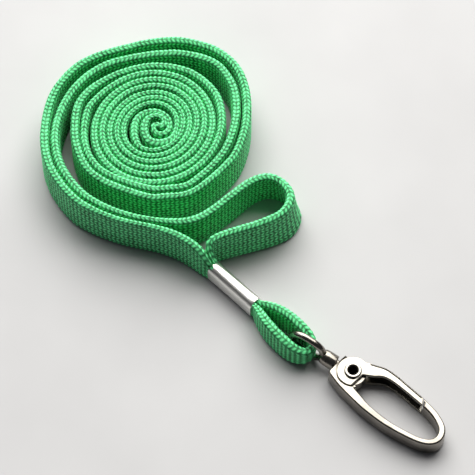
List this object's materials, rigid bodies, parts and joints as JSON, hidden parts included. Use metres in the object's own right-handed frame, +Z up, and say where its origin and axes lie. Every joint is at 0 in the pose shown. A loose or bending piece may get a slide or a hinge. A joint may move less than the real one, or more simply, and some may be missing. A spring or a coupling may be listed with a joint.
{
  "type": "lanyard badge holder",
  "caption": "Flat braided neck lanyard wound up on edge, its ends crimped in a metal ferrule round the eye of a swivel trigger hook with a sprung gate.",
  "frame": {"origin": "centre of the wound coil, on the surface it lies on", "axes": "+Z up, +X from the coil towards the tip of the hook, parallel to the hook's swivel axis"},
  "size_m": [0.1102, 0.0472, 0.01],
  "materials": {
    "strap_braid": "woven matt",
    "ferrule": "satin",
    "eye_metal": "polished nickel plate",
    "hook_metal": "polished nickel plate",
    "gate_metal": "polished nickel plate",
    "rivet_metal": "polished nickel plate",
    "spring_steel": "drawn wire"
  },
  "bodies": {
    "lanyard": {"strap_coil": "strap_braid", "strap_outer_turn": "strap_braid", "strap_inner_turn": "strap_braid", "strap_front_run": "strap_braid", "strap_side_loop": "strap_braid", "strap_in_ferrule": "strap_braid", "strap_hook_loop": "strap_braid", "crimp_ferrule": "ferrule"},
    "eye": {"swivel_eye": "eye_metal"},
    "hook": {"hook_body": "hook_metal", "hollow_rivet": "rivet_metal"},
    "gate": {"hook_gate": "gate_metal", "gate_spring": "spring_steel"}
  },
  "joints": [
    {"name": "eye_swing", "type": "hinge", "parent": "lanyard", "child": "eye", "pos_m": [0.0551, -0.0117, 0.0035], "axis": [0.2588, -0.9659, 0], "range_deg": [-60, 75]},
    {"name": "hook_swivel", "type": "hinge", "parent": "eye", "child": "hook", "pos_m": [0.06075, -0.01019, 0.00215], "axis": [1, 0, 0], "continuous": true},
    {"name": "gate_pivot", "type": "hinge", "parent": "hook", "child": "gate", "pos_m": [0.06435, -0.00979, 0.00215], "axis": [0, 0, -1], "range_deg": [0, 24], "stiffness_Nm_per_rad": 0.02, "springref_deg": -28.65}
  ]
}
